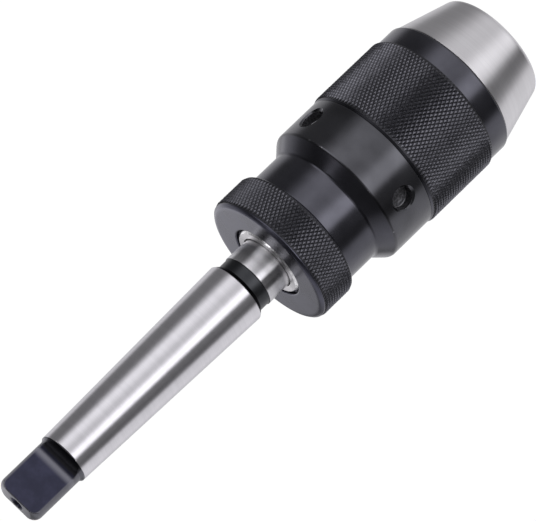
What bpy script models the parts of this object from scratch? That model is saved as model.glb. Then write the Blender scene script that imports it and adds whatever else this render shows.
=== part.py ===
"""Keyless drill chuck on a Morse taper 2 arbor with a B16 spigot, as separate pieces at rest.

The chuck's axis is Z, with +Z towards the tang and the nose pointing down, as it hangs in a spindle.
The origin is the centre of the taper's gauge plane. Stations along the axis count from that plane
towards the nose, so a station s lies at z = -s. All sizes are in metres.
At rest the jaws are fully open, and each joint's pieces hang from an empty on the chuck's axis.
"""

import math

import bmesh
import bpy
from mathutils import Matrix, Vector

# Clearances between pieces, and the rounding of their plain edges
SLIP = 0.00015
RUNNING = 0.00025
FACE = 0.0003
EDGE = 0.0003

# Morse taper 2 shank with a tang
MORSE_DIAMETER = 0.01778
MORSE_TAPER = 1 / 20.020
MORSE_LEAD = 0.005
MORSE_LENGTH = 0.059
MORSE_CHAMFER = 0.0004
MORSE_END_RADIUS = 0.0005
TANG_LENGTH = 0.016
TANG_STEP = 0.00067
TANG_THICKNESS = 0.0063
TANG_FLAT = 0.01285
TANG_RUNOUT = 0.004
TANG_END_RADIUS = 0.0022
CENTRE_HOLE_DIAMETER = 0.0032
CENTRE_HOLE_DEPTH = 0.0045
CENTRE_HOLE_CHAMFER = 0.0006

# Undercut and B16 spigot
UNDERCUT_LENGTH = 0.0047
UNDERCUT_DEPTH = 0.00026
SPIGOT_DIAMETER = 0.01602
SPIGOT_TAPER = 1 / 20.020
SPIGOT_LENGTH = 0.029
SPIGOT_SHOWING = 0.0073
SPIGOT_END_RADIUS = 0.0008

# Hub. Its diameters, and those of what is round it, step outwards from the spigot
HUB_SEAT_WALL = 0.00249
HUB_SHOULDER_WIDTH = 0.0021
HUB_BOSS_WALL = 0.003
SOCKET_END_ROOM = 0.0008
SOCKET_CHAMFER = 0.0008
BOSS_FILLET = 0.0008
WEB_THICKNESS = 0.0027
WEB_HOLE_DIAMETER = 0.005
FLANGE_THICKNESS = 0.0052

# Rear grip ring
RING_DIAMETER = 0.040
RING_LENGTH = 0.0114
RING_REAR_CHAMFER = 0.001
RING_FRONT_CHAMFER = 0.0006
RING_MOUTH_GAP = 0.0006
RING_MOUTH_DEPTH = 0.0016
RING_RECESS_DEPTH = 0.0018

# Dust seal in the hood's neck
SEAL_THICKNESS = 0.0014
SEAL_STAND_OFF = 0.0045

# Rear hood
HOOD_GAP = 0.0004
NECK_WALL = 0.00485
BARREL_SETBACK = 0.0047
SHOULDER_LENGTH = 0.004
SHOULDER_RADIUS = 0.0012
NECK_FILLET = 0.0006
HOOD_BARREL_LENGTH = 0.0137
HOOD_STEP_THICKNESS = 0.0012
SPANNER_HOLE_DIAMETER = 0.0063
SPANNER_HOLE_DEPTH = 0.0031
SPANNER_HOLE_CHAMFER = 0.0005
SPANNER_HOLE_SETBACK = 0.0067
SPANNER_HOLE_ANGLES = (-134.5, -34.5, 95.5)

# Thrust bearing
BALL_COUNT = 16
BALL_DIAMETER = 0.003
RACE_THICKNESS = 0.0016
CAGE_RIM = 0.0004
CAGE_THICKNESS = 0.0018
ROLLING_GAP = 0.0001

# Screwed joint between hood, nose sleeve and knurled sleeve
JOINT_LENGTH = 0.009
GUIDE_SEAT_WIDTH = 0.0007
HOOD_SPIGOT_WALL = 0.0015
HOOD_STEP_WIDTH = 0.00203

# Knurled sleeve with its smooth band
SLEEVE_WALL = 0.00175
KNURL_HEIGHT = 0.00065
KNURL_LENGTH = 0.0232
KNURL_CHAMFER = 0.0005
BAND_LENGTH = 0.0062
BAND_EDGE_RADIUS = 0.0008

# Nose sleeve
NOSE_STEP = 0.0004
NOSE_ANGLE = math.radians(15.2)
NOSE_EDGE_RADIUS = 0.002
NOSE_SKIRT_WALL = 0.00175
MOUTH_CHAMFER = 0.0006

# Jaws and their travel
JAW_ANGLE = math.radians(20)
GRIP_OPEN_DIAMETER = 0.013
GRIP_CLOSED_DIAMETER = 0.0012
GRIP_LAND = 0.0012
JAW_WIDTH = 0.0072
JAW_BACK_RADIUS = 0.0075
JAW_RECESS = 0.0044
JAW_TIP_CHAMFER = 0.0009
JAW_COUNT = 3
JAW_FIRST_ANGLE = 30

# Feed screw with its T-slotted head
SCREW_DIAMETER = 0.015
SCREW_ENGAGEMENT = 0.0073
SCREW_END_ROOM = 0.0005
SCREW_CHAMFER = 0.0008
SCREW_BORE_CHAMFER = 0.0006
HEAD_THICKNESS = 0.008
HEAD_LIP = 0.002
T_THICKNESS = 0.0036
T_LEDGE = 0.0009
T_INNER_RADIUS = 0.0030

# Jaw guide
GUIDE_WALL = 0.00315
GUIDE_CONE_WALL = 0.00109
GUIDE_CONE_LENGTH = 0.01303
GUIDE_FLANGE_THICKNESS = 0.0026
GUIDE_WEB_ROOM = 0.0007
GUIDE_END_SETBACK = 0.0012
GUIDE_PIN_DIAMETER = 0.002
GUIDE_PIN_COUNT = 3
GUIDE_PIN_ROOM = 0.0001

# Roundness of turned pieces, holes, pins and balls
OUTER_SEGMENTS = 48
INNER_SEGMENTS = 36
HOLE_SEGMENTS = 32
SMALL_HOLE_SEGMENTS = 16
PIN_SEGMENTS = 12
POCKET_SEGMENTS = 10
SEAL_SIDES = 6
BALL_SEGMENTS = 8
BALL_RINGS = 6
JAW_SEGMENTS = 96
RUNOUT_STEPS = 8
FILLET_STEP = 0.0005
MOST_FILLET_STEPS = 4

# How far a cutter reaches past what it cuts
OVER = 0.001

# Stations along the axis
UNDERCUT_END = MORSE_LEAD + UNDERCUT_LENGTH
HUB_REAR = UNDERCUT_END + SPIGOT_SHOWING
SPIGOT_END = UNDERCUT_END + SPIGOT_LENGTH
SOCKET_END = SPIGOT_END + SOCKET_END_ROOM
SCREW_BORE_START = SOCKET_END + WEB_THICKNESS
RING_FRONT = HUB_REAR + RING_LENGTH
HUB_SHOULDER = RING_FRONT - RING_RECESS_DEPTH + SLIP
HOOD_REAR = RING_FRONT + HOOD_GAP
BARREL_START = SPIGOT_END + BARREL_SETBACK
NECK_END = BARREL_START - SHOULDER_LENGTH
BARREL_END = BARREL_START + HOOD_BARREL_LENGTH
SEAL_STATION = HOOD_REAR + SEAL_STAND_OFF
RACE_SEAT = BARREL_START + HOOD_STEP_THICKNESS
HOOD_RACE_FRONT = RACE_SEAT + SLIP + RACE_THICKNESS
BALL_STATION = HOOD_RACE_FRONT + ROLLING_GAP + BALL_DIAMETER / 2
HUB_RACE_REAR = BALL_STATION + BALL_DIAMETER / 2 + ROLLING_GAP
FLANGE_REAR = HUB_RACE_REAR + RACE_THICKNESS + SLIP
FLANGE_FRONT = FLANGE_REAR + FLANGE_THICKNESS
GUIDE_SEAT = FLANGE_FRONT + 2 * RUNNING
GUIDE_REAR = GUIDE_SEAT + SLIP
NOSE_SKIRT_REAR = GUIDE_REAR + GUIDE_FLANGE_THICKNESS + SLIP
HOOD_FRONT = BARREL_END + JOINT_LENGTH
SLEEVE_REAR = BARREL_END + FACE
KNURL_END = SLEEVE_REAR + KNURL_LENGTH
SLEEVE_FRONT = KNURL_END + BAND_LENGTH
NOSE_REAR = SLEEVE_FRONT + SLIP

# Jaw travel, and the stations of the screw's head, the guide's web and the nose
JAW_SLOPE = math.tan(JAW_ANGLE)
JAW_RADIAL_TRAVEL = (GRIP_OPEN_DIAMETER - GRIP_CLOSED_DIAMETER) / 2
FEED_TRAVEL = JAW_RADIAL_TRAVEL / JAW_SLOPE
HUB_FRONT = SCREW_BORE_START + SCREW_END_ROOM + FEED_TRAVEL + SCREW_ENGAGEMENT
HEAD_REAR = HUB_FRONT + FACE
HEAD_FRONT = HEAD_REAR + HEAD_THICKNESS
T_FRONT = HEAD_FRONT - HEAD_LIP - SLIP
T_REAR = T_FRONT - T_THICKNESS
GUIDE_WEB_REAR = HEAD_FRONT + FEED_TRAVEL + 2 * RUNNING
NOSE_FRONT = GUIDE_WEB_REAR + GUIDE_CONE_LENGTH
GUIDE_FRONT = NOSE_FRONT - GUIDE_END_SETBACK
JAW_TIP = NOSE_FRONT - JAW_RECESS

# Radii that pieces share, from the spigot outwards
HUB_SEAT_RADIUS = SPIGOT_DIAMETER / 2 + HUB_SEAT_WALL
HUB_NECK_RADIUS = HUB_SEAT_RADIUS + HUB_SHOULDER_WIDTH
HOOD_BORE = HUB_NECK_RADIUS + 2 * RUNNING
SEAL_RADIUS = HOOD_BORE - SLIP - SEAL_THICKNESS / 2
NECK_RADIUS = HOOD_BORE + NECK_WALL
BEARING_INSIDE = HUB_NECK_RADIUS + SLIP
CAGE_INSIDE = BEARING_INSIDE + SLIP
BALL_POCKET_RADIUS = BALL_DIAMETER / 2 + ROLLING_GAP
PITCH_RADIUS = CAGE_INSIDE + CAGE_RIM + BALL_POCKET_RADIUS
CAGE_OUTSIDE = PITCH_RADIUS + BALL_POCKET_RADIUS + CAGE_RIM
BEARING_BORE = CAGE_OUTSIDE + 2 * SLIP
JOINT_RADIUS = BEARING_BORE + GUIDE_SEAT_WIDTH
RIM_RADIUS = JOINT_RADIUS + HOOD_SPIGOT_WALL
HOOD_RADIUS = RIM_RADIUS + HOOD_STEP_WIDTH
SLEEVE_BORE = RIM_RADIUS + SLIP
BAND_RADIUS = SLEEVE_BORE + SLEEVE_WALL
KNURL_RADIUS = BAND_RADIUS + KNURL_HEIGHT

# Radii that pieces share, from the nose sleeve's skirt inwards
SKIRT_RADIUS = JOINT_RADIUS - SLIP
NOSE_BORE = SKIRT_RADIUS - NOSE_SKIRT_WALL
GUIDE_OUTSIDE = NOSE_BORE - RUNNING
JAW_OUTSIDE = GUIDE_OUTSIDE - SLIP
GUIDE_BORE = GUIDE_OUTSIDE - GUIDE_WALL
MOUTH_RADIUS = GUIDE_BORE + GUIDE_CONE_WALL + RUNNING - GUIDE_CONE_LENGTH * JAW_SLOPE
HEAD_RADIUS = GUIDE_BORE - RUNNING - SLIP
T_OPEN_INNER_RADIUS = T_INNER_RADIUS + JAW_RADIAL_TRAVEL
T_HALF_WIDTH = JAW_WIDTH / 2 + T_LEDGE
SLOT_HALF_WIDTH = JAW_WIDTH / 2 + RUNNING
GUIDE_PIN_ANGLE = JAW_FIRST_ANGLE + 180 / JAW_COUNT


def morse_radius(station):
    """Radius of the Morse taper at a station."""
    return MORSE_DIAMETER / 2 + station * MORSE_TAPER / 2


def tang_radius():
    """Radius of the tang, a little under the cone's small end."""
    return morse_radius(-MORSE_LENGTH) - TANG_STEP


def spigot_radius(station):
    """Radius of the B16 spigot at a station."""
    return SPIGOT_DIAMETER / 2 - (station - UNDERCUT_END) * SPIGOT_TAPER / 2


def cone_radius(station):
    """Radius of the cone inside the nose, on which the jaws' backs slide."""
    return MOUTH_RADIUS + (NOSE_FRONT - station) * JAW_SLOPE


def cone_station(radius):
    """Station at which the cone inside the nose has this radius."""
    return NOSE_FRONT - (radius - MOUTH_RADIUS) / JAW_SLOPE


def clear_scene():
    for obj in list(bpy.data.objects):
        bpy.data.objects.remove(obj)


def new_collection(name):
    collection = bpy.data.collections.new(name)
    bpy.context.scene.collection.children.link(collection)
    return collection


def new_material(name, colour, roughness, metallic):
    material = bpy.data.materials.new(name)
    material.use_nodes = True
    shader = material.node_tree.nodes["Principled BSDF"]
    shader.inputs["Base Color"].default_value = (*colour, 1)
    shader.inputs["Roughness"].default_value = roughness
    shader.inputs["Metallic"].default_value = metallic
    return material


def add_piece(name, mesh, colour=(0.5, 0.5, 0.5), roughness=0.4, metallic=1.0, parent=None):
    """A piece of the chuck, with its own material."""
    obj = bpy.data.objects.new(name, mesh)
    PARTS.objects.link(obj)
    obj.parent = parent
    if not mesh.materials:
        mesh.materials.append(new_material(name, colour, roughness, metallic))
    return obj


def add_cutter(name, mesh):
    """A helper shape that Booleans use and no render shows."""
    obj = bpy.data.objects.new(name, mesh)
    CUTTERS.objects.link(obj)
    obj.hide_render = True
    obj.display_type = "WIRE"
    return obj


def boolean(obj, cutter, operation="DIFFERENCE"):
    modifier = obj.modifiers.new(cutter.name, "BOOLEAN")
    modifier.operation = operation
    modifier.object = cutter


def rounded(corners, closed=False):
    """Outline through (radius, station) corners, where a third value is a fillet, drawn as an arc."""
    outline = []
    last = len(corners) - 1
    for i, (radius, station, *fillet) in enumerate(corners):
        corner = Vector((radius, station))
        if not fillet or (not closed and i in (0, last)):
            outline.append(corner)
            continue
        back = Vector(corners[i - 1][:2]) - corner
        ahead = Vector(corners[(i + 1) % len(corners)][:2]) - corner
        room = 0.45 * min(back.length, ahead.length)
        half = back.angle(ahead) / 2
        reach = min(fillet[0] / math.tan(half), room)
        size = reach * math.tan(half)
        inward = (back.normalized() + ahead.normalized()).normalized()
        centre = corner + inward * size / math.sin(half)
        first = corner + back.normalized() * reach - centre
        sweep = first.angle_signed(corner + ahead.normalized() * reach - centre)
        steps = min(MOST_FILLET_STEPS, max(1, round(size / FILLET_STEP)))
        for step in range(steps + 1):
            outline.append(centre + first @ Matrix.Rotation(sweep * step / steps, 2))
    return outline


def profile_mesh(name, outline, closed):
    """A wire of (radius, station) points in the XZ plane, running down its outer side."""
    points = [(radius, 0, -station) for radius, station in outline]
    edges = [(i, i + 1) for i in range(len(points) - 1)]
    if closed:
        edges.append((len(points) - 1, 0))
    mesh = bpy.data.meshes.new(name)
    mesh.from_pydata(points, edges, [])
    return mesh


def turn(obj, segments):
    screw = obj.modifiers.new("turn", "SCREW")
    screw.axis = "Z"
    screw.angle = 2 * math.pi
    screw.steps = segments
    screw.render_steps = segments
    screw.use_merge_vertices = True
    screw.merge_threshold = 0.000001
    screw.use_smooth_shade = True


def turned_piece(name, corners, segments=INNER_SEGMENTS, closed=True, **looks):
    """A turned piece. A closed outline makes a ring, an open one starts and ends on the axis."""
    mesh = profile_mesh(name, rounded(corners, closed), closed)
    obj = add_piece(name, mesh, **looks)
    turn(obj, segments)
    return obj


def turned_cutter(name, corners, segments=INNER_SEGMENTS, closed=False):
    obj = add_cutter(name, profile_mesh(name, rounded(corners, closed), closed))
    turn(obj, segments)
    return obj


def evaluated_mesh(obj):
    """The object's mesh with its modifiers applied, and the object removed."""
    graph = bpy.context.evaluated_depsgraph_get()
    graph.update()
    mesh = bpy.data.meshes.new_from_object(obj.evaluated_get(graph))
    bpy.data.objects.remove(obj)
    return mesh


def slab_mesh(name, outline, thickness):
    """A flat outline in the XY plane, extruded evenly to both sides of it."""
    curve = bpy.data.curves.new(name, "CURVE")
    curve.dimensions = "2D"
    curve.fill_mode = "BOTH"
    curve.extrude = thickness / 2
    spline = curve.splines.new("POLY")
    spline.points.add(len(outline) - 1)
    for point, (x, y) in zip(spline.points, outline):
        point.co = (x, y, 0, 1)
    spline.use_cyclic_u = True
    guide = bpy.data.objects.new(name, curve)
    CUTTERS.objects.link(guide)
    mesh = evaluated_mesh(guide)
    mesh.name = name
    welded = bmesh.new()
    welded.from_mesh(mesh)
    bmesh.ops.remove_doubles(welded, verts=welded.verts, dist=0.000001)
    bmesh.ops.recalc_face_normals(welded, faces=welded.faces)
    welded.to_mesh(mesh)
    welded.free()
    return mesh


def upright_slab(name, outline, thickness):
    """A slab whose outline of (radius, station) points stands in the XZ plane."""
    mesh = slab_mesh(name, [(radius, -station) for radius, station in outline], thickness)
    mesh.transform(Matrix.Rotation(math.pi / 2, 4, "X"))
    return mesh


def block_mesh(name, low, high):
    """A box between two corners of (x, y, station)."""
    block = bmesh.new()
    bmesh.ops.create_cube(block, size=1)
    for vert in block.verts:
        vert.co.x = high[0] if vert.co.x > 0 else low[0]
        vert.co.y = high[1] if vert.co.y > 0 else low[1]
        vert.co.z = -low[2] if vert.co.z > 0 else -high[2]
    mesh = bpy.data.meshes.new(name)
    block.to_mesh(mesh)
    block.free()
    return mesh


def rods_mesh(name, places, radius, low, high, segments):
    """Rods along the axis from station low to high, one at each (x, y) place."""
    rods = bmesh.new()
    for x, y in places:
        matrix = Matrix.Translation((x, y, -(low + high) / 2))
        bmesh.ops.create_cone(rods, cap_ends=True, segments=segments, radius1=radius, radius2=radius,
                              depth=high - low, matrix=matrix)
    mesh = bpy.data.meshes.new(name)
    rods.to_mesh(mesh)
    rods.free()
    return mesh


def around(count, radius, first_angle=0.0):
    """(x, y) places evenly spaced on a circle, with the first at an angle in degrees."""
    angles = [math.radians(first_angle + 360 * i / count) for i in range(count)]
    return [(radius * math.cos(angle), radius * math.sin(angle)) for angle in angles]


def joint_empty(name):
    empty = bpy.data.objects.new(name, None)
    PARTS.objects.link(empty)
    return empty


def make_arbor(body):
    """Taper shank with its tang, the undercut and the B16 spigot, in one piece."""
    tang_end = -MORSE_LENGTH - TANG_LENGTH
    undercut = SPIGOT_DIAMETER / 2 - UNDERCUT_DEPTH
    centre_hole_radius = CENTRE_HOLE_DIAMETER / 2
    corners = [
        (0, tang_end),
        (tang_radius(), tang_end, TANG_END_RADIUS),
        (tang_radius(), -MORSE_LENGTH),
        (morse_radius(-MORSE_LENGTH) - MORSE_CHAMFER, -MORSE_LENGTH),
        (morse_radius(-MORSE_LENGTH + MORSE_CHAMFER), -MORSE_LENGTH + MORSE_CHAMFER),
        (morse_radius(MORSE_LEAD), MORSE_LEAD, MORSE_END_RADIUS),
        (undercut, MORSE_LEAD, EDGE),
        (undercut, UNDERCUT_END, EDGE),
        (SPIGOT_DIAMETER / 2, UNDERCUT_END, EDGE),
        (spigot_radius(SPIGOT_END), SPIGOT_END, SPIGOT_END_RADIUS),
        (0, SPIGOT_END),
    ]
    arbor = turned_piece("taper_arbor", corners, OUTER_SEGMENTS, closed=False,
                         colour=(0.62, 0.62, 0.64), roughness=0.25, parent=body)
    for side, name in ((1, "tang_left"), (-1, "tang_right")):
        boolean(arbor, make_tang_cutter(name, side))
    centre_hole = turned_cutter("centre_hole", [
        (0, tang_end - OVER),
        (centre_hole_radius + CENTRE_HOLE_CHAMFER + OVER, tang_end - OVER),
        (centre_hole_radius, tang_end + CENTRE_HOLE_CHAMFER),
        (centre_hole_radius, tang_end + CENTRE_HOLE_DEPTH),
        (0, tang_end + CENTRE_HOLE_DEPTH + centre_hole_radius / 2),
    ], SMALL_HOLE_SEGMENTS)
    boolean(arbor, centre_hole)


def make_tang_cutter(name, side):
    """What the milling cutter takes off one side of the tang, with its round run-out."""
    tang_end = -MORSE_LENGTH - TANG_LENGTH
    flat_end = tang_end + TANG_FLAT
    face = TANG_THICKNESS / 2
    past = face + TANG_RUNOUT + tang_radius()
    outline = [(face, tang_end - OVER), (face, flat_end)]
    for step in range(1, RUNOUT_STEPS + 1):
        angle = math.pi / 2 * step / RUNOUT_STEPS
        outline.append((face + TANG_RUNOUT * (1 - math.cos(angle)), flat_end + TANG_RUNOUT * math.sin(angle)))
    outline += [(past, flat_end + TANG_RUNOUT), (past, tang_end - OVER)]
    cutter = add_cutter(name, upright_slab(name, outline, 4 * tang_radius()))
    cutter.rotation_euler.z = side * math.pi / 2
    return cutter


def make_hub(body):
    """Chuck body: taper socket, ring seat, seal groove, thrust flange and the bore for the feed screw."""
    seat = HUB_SEAT_RADIUS
    neck = HUB_NECK_RADIUS
    flange = BEARING_BORE - 2 * RUNNING
    boss = SCREW_DIAMETER / 2 + HUB_BOSS_WALL
    bore = SCREW_DIAMETER / 2 + RUNNING
    groove = SEAL_RADIUS - SEAL_THICKNESS / 2 - SLIP
    groove_half = SEAL_THICKNESS / 2 + SLIP
    corners = [
        (seat, HUB_REAR, EDGE),
        (seat, HUB_SHOULDER),
        (neck, HUB_SHOULDER, EDGE),
        (neck, SEAL_STATION - groove_half),
        (groove, SEAL_STATION - groove_half),
        (groove, SEAL_STATION + groove_half),
        (neck, SEAL_STATION + groove_half),
        (neck, FLANGE_REAR),
        (flange, FLANGE_REAR, EDGE),
        (flange, FLANGE_FRONT, EDGE),
        (boss, FLANGE_FRONT, BOSS_FILLET),
        (boss, HUB_FRONT, EDGE),
        (bore + SCREW_BORE_CHAMFER, HUB_FRONT),
        (bore, HUB_FRONT - SCREW_BORE_CHAMFER),
        (bore, SCREW_BORE_START),
        (WEB_HOLE_DIAMETER / 2, SCREW_BORE_START),
        (WEB_HOLE_DIAMETER / 2, SOCKET_END),
        (spigot_radius(SOCKET_END) + SLIP, SOCKET_END),
        (spigot_radius(HUB_REAR + SOCKET_CHAMFER) + SLIP, HUB_REAR + SOCKET_CHAMFER),
        (spigot_radius(HUB_REAR) + SLIP + SOCKET_CHAMFER, HUB_REAR),
    ]
    turned_piece("hub", corners, colour=(0.6, 0.6, 0.62), roughness=0.3, parent=body)


def make_rear_ring(body):
    """Grip ring, held against the hub's shoulder. Its knurl is a surface texture."""
    outer = RING_DIAMETER / 2
    bore = HUB_SEAT_RADIUS + SLIP
    recess = HUB_NECK_RADIUS + SLIP
    mouth = HUB_SEAT_RADIUS + RING_MOUTH_GAP
    corners = [
        (outer - RING_REAR_CHAMFER, HUB_REAR),
        (outer, HUB_REAR + RING_REAR_CHAMFER),
        (outer, RING_FRONT - RING_FRONT_CHAMFER),
        (outer - RING_FRONT_CHAMFER, RING_FRONT),
        (recess, RING_FRONT),
        (recess, RING_FRONT - RING_RECESS_DEPTH),
        (bore, RING_FRONT - RING_RECESS_DEPTH),
        (bore, HUB_REAR + RING_MOUTH_DEPTH),
        (mouth, HUB_REAR + RING_MOUTH_DEPTH - (mouth - bore)),
        (mouth, HUB_REAR),
    ]
    turned_piece("rear_grip_ring", corners, OUTER_SEGMENTS, colour=(0.03, 0.03, 0.035), roughness=0.35,
                 parent=body)


def make_seal(body):
    """Round dust seal in the hub's groove, inside the hood's neck."""
    section = SEAL_THICKNESS / 2
    angles = [math.pi / 2 - 2 * math.pi * i / SEAL_SIDES for i in range(SEAL_SIDES)]
    corners = [(SEAL_RADIUS + section * math.cos(a), SEAL_STATION - section * math.sin(a)) for a in angles]
    turned_piece("dust_seal", corners, colour=(0.02, 0.02, 0.02), roughness=0.8, metallic=0.0, parent=body)


def make_race(name, rear, body):
    """Flat hardened washer that the bearing balls roll on."""
    inside = BEARING_INSIDE
    outside = BEARING_BORE - SLIP
    corners = [
        (outside, rear, EDGE),
        (outside, rear + RACE_THICKNESS, EDGE),
        (inside, rear + RACE_THICKNESS),
        (inside, rear),
    ]
    turned_piece(name, corners, colour=(0.55, 0.55, 0.57), roughness=0.2, parent=body)


def make_ball_cage(body):
    """Bearing cage, bored for each ball, and the balls in it."""
    rear = BALL_STATION - CAGE_THICKNESS / 2
    front = rear + CAGE_THICKNESS
    corners = [(CAGE_OUTSIDE, rear), (CAGE_OUTSIDE, front), (CAGE_INSIDE, front), (CAGE_INSIDE, rear)]
    cage = turned_piece("ball_cage", corners, colour=(0.75, 0.55, 0.25), roughness=0.35, parent=body)
    places = around(BALL_COUNT, PITCH_RADIUS)
    pockets = rods_mesh("ball_pockets", places, BALL_POCKET_RADIUS, rear - OVER, front + OVER,
                        POCKET_SEGMENTS)
    boolean(cage, add_cutter("ball_pockets", pockets))
    ball = bmesh.new()
    bmesh.ops.create_uvsphere(ball, u_segments=BALL_SEGMENTS, v_segments=BALL_RINGS, radius=BALL_DIAMETER / 2)
    mesh = bpy.data.meshes.new("ball")
    ball.to_mesh(mesh)
    ball.free()
    mesh.shade_smooth()
    for i, (x, y) in enumerate(places):
        obj = add_piece(f"ball_{i + 1:02d}", mesh, (0.7, 0.7, 0.72), 0.1, 1.0, body)
        obj.location = (x, y, -BALL_STATION)


def make_hood(body):
    """Rear hood: neck, sloping shoulder and barrel, with the seat of the thrust bearing inside."""
    corners = [
        (NECK_RADIUS, HOOD_REAR, EDGE),
        (NECK_RADIUS, NECK_END, NECK_FILLET),
        (HOOD_RADIUS, BARREL_START, SHOULDER_RADIUS),
        (HOOD_RADIUS, BARREL_END, EDGE),
        (RIM_RADIUS, BARREL_END),
        (RIM_RADIUS, HOOD_FRONT, EDGE),
        (JOINT_RADIUS, HOOD_FRONT),
        (JOINT_RADIUS, GUIDE_SEAT),
        (BEARING_BORE, GUIDE_SEAT),
        (BEARING_BORE, RACE_SEAT),
        (HOOD_BORE, RACE_SEAT),
        (HOOD_BORE, HOOD_REAR),
    ]
    hood = turned_piece("rear_hood", corners, OUTER_SEGMENTS, colour=(0.02, 0.02, 0.025), roughness=0.25,
                        parent=body)
    for i, angle in enumerate(SPANNER_HOLE_ANGLES):
        boolean(hood, make_spanner_hole(f"spanner_hole_{i + 1}", math.radians(angle)))
    boolean(hood, make_pin_holes("hood_pin_holes", GUIDE_SEAT - GUIDE_PIN_ROOM,
                                 NOSE_SKIRT_REAR + GUIDE_PIN_ROOM))


def make_spanner_hole(name, angle):
    """Blind hole for a pin spanner, drilled towards the axis with a small chamfer."""
    radius = SPANNER_HOLE_DIAMETER / 2
    cutter = turned_cutter(name, [
        (0, -OVER),
        (radius + SPANNER_HOLE_CHAMFER + OVER, -OVER),
        (radius, SPANNER_HOLE_CHAMFER),
        (radius, SPANNER_HOLE_DEPTH),
        (0, SPANNER_HOLE_DEPTH),
    ], HOLE_SEGMENTS)
    station = BARREL_START + SPANNER_HOLE_SETBACK
    cutter.location = (HOOD_RADIUS * math.cos(angle), HOOD_RADIUS * math.sin(angle), -station)
    cutter.rotation_euler = (0, math.pi / 2, angle)
    return cutter


def make_pin_holes(name, low, high):
    """Half-round keyways shared by the guide's flange and the hood's bore."""
    places = around(GUIDE_PIN_COUNT, SKIRT_RADIUS, GUIDE_PIN_ANGLE)
    return add_cutter(name, rods_mesh(name, places, GUIDE_PIN_DIAMETER / 2 + SLIP, low, high, PIN_SEGMENTS))


def make_guide_pins(body):
    """Dowels that key the jaw guide to the hood."""
    mesh = rods_mesh("guide_pin", [(0, 0)], GUIDE_PIN_DIAMETER / 2,
                     -GUIDE_FLANGE_THICKNESS / 2, GUIDE_FLANGE_THICKNESS / 2, PIN_SEGMENTS)
    for i, (x, y) in enumerate(around(GUIDE_PIN_COUNT, SKIRT_RADIUS, GUIDE_PIN_ANGLE)):
        pin = add_piece(f"guide_pin_{i + 1}", mesh, (0.5, 0.5, 0.52), 0.3, 1.0, body)
        pin.location = (x, y, -(GUIDE_REAR + GUIDE_FLANGE_THICKNESS / 2))


def make_knurled_sleeve(body):
    """Grip sleeve with a smooth band, held between the hood's step and the nose's shoulder."""
    corners = [
        (HOOD_RADIUS, SLEEVE_REAR),
        (KNURL_RADIUS, SLEEVE_REAR + 2 * KNURL_CHAMFER),
        (KNURL_RADIUS, KNURL_END - KNURL_CHAMFER),
        (BAND_RADIUS, KNURL_END),
        (BAND_RADIUS, SLEEVE_FRONT, BAND_EDGE_RADIUS),
        (SLEEVE_BORE, SLEEVE_FRONT),
        (SLEEVE_BORE, SLEEVE_REAR),
    ]
    turned_piece("knurled_sleeve", corners, OUTER_SEGMENTS, colour=(0.03, 0.03, 0.035), roughness=0.35,
                 parent=body)


def make_nose(body):
    """Nose sleeve: bright cone outside, and the cone inside that closes the jaws."""
    base = BAND_RADIUS - NOSE_STEP
    tip = base - (NOSE_FRONT - NOSE_REAR) * math.tan(NOSE_ANGLE)
    corners = [
        (SKIRT_RADIUS, NOSE_SKIRT_REAR, EDGE),
        (SKIRT_RADIUS, HOOD_FRONT + FACE),
        (RIM_RADIUS, HOOD_FRONT + FACE),
        (RIM_RADIUS, NOSE_REAR),
        (base, NOSE_REAR),
        (tip, NOSE_FRONT, NOSE_EDGE_RADIUS),
        (MOUTH_RADIUS + MOUTH_CHAMFER, NOSE_FRONT),
        (cone_radius(NOSE_FRONT - MOUTH_CHAMFER), NOSE_FRONT - MOUTH_CHAMFER),
        (NOSE_BORE, cone_station(NOSE_BORE)),
        (NOSE_BORE, NOSE_SKIRT_REAR),
    ]
    turned_piece("nose_sleeve", corners, OUTER_SEGMENTS, colour=(0.62, 0.62, 0.64), roughness=0.25,
                 parent=body)


def make_jaw_guide(body):
    """Slotted guide: a tube that the screw's head runs in, and a cone-shaped end that spaces the jaws."""
    flange = JOINT_RADIUS - FACE
    web_bore = GRIP_OPEN_DIAMETER / 2 + GUIDE_WEB_ROOM
    corners = [
        (flange, GUIDE_REAR),
        (flange, GUIDE_REAR + GUIDE_FLANGE_THICKNESS),
        (GUIDE_OUTSIDE, GUIDE_REAR + GUIDE_FLANGE_THICKNESS),
        (GUIDE_OUTSIDE, cone_station(NOSE_BORE)),
        (cone_radius(GUIDE_FRONT) - RUNNING, GUIDE_FRONT),
        (web_bore, GUIDE_FRONT),
        (web_bore, GUIDE_WEB_REAR),
        (GUIDE_BORE, GUIDE_WEB_REAR),
        (GUIDE_BORE, GUIDE_REAR),
    ]
    guide = turned_piece("jaw_guide", corners, colour=(0.5, 0.5, 0.52), roughness=0.35, parent=body)
    window_end = T_FRONT + (JAW_OUTSIDE - HEAD_RADIUS) / JAW_SLOPE
    far = 2 * NOSE_BORE
    slot = block_mesh("jaw_slot", (0, -SLOT_HALF_WIDTH, T_REAR - FACE),
                      (far, SLOT_HALF_WIDTH, NOSE_FRONT))
    half = T_HALF_WIDTH + RUNNING
    window = block_mesh("t_window", (T_INNER_RADIUS, -half, T_REAR - FACE), (far, half, window_end))
    for i in range(JAW_COUNT):
        for kind, mesh in (("jaw_slot", slot), ("t_window", window)):
            cutter = add_cutter(f"{kind}_{i + 1}", mesh)
            cutter.rotation_euler.z = jaw_azimuth(i)
            boolean(guide, cutter)
    boolean(guide, make_pin_holes("guide_pin_holes", GUIDE_REAR - OVER,
                                  GUIDE_REAR + GUIDE_FLANGE_THICKNESS + OVER))


def jaw_azimuth(i):
    return math.radians(JAW_FIRST_ANGLE) + 2 * math.pi * i / JAW_COUNT


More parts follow.
